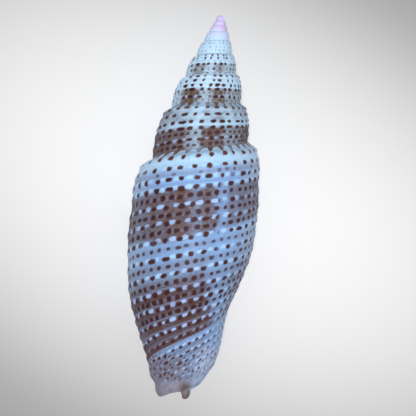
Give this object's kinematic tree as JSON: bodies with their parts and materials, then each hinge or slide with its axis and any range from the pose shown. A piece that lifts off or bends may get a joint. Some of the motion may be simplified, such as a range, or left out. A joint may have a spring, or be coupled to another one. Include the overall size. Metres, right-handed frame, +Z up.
{
  "type": "mitre shell",
  "caption": "Slender high-spired sea shell with stepped whorls, spiral cords, a long narrow aperture and a folded columella, lying on its aperture.",
  "frame": {"origin": "centre of the footprint, on the surface the shell lies on", "axes": "+Z up, away from the aperture; +Y along the shell towards its pointed apex; +X to the right of the shell seen from above with the apex away"},
  "size_m": [0.0166, 0.05, 0.0153],
  "materials": {
    "shell": "satin glazed, pale blue-white with rows of red-brown dots"
  },
  "bodies": {
    "root": {"shell": "shell"}
  },
  "joints": []
}
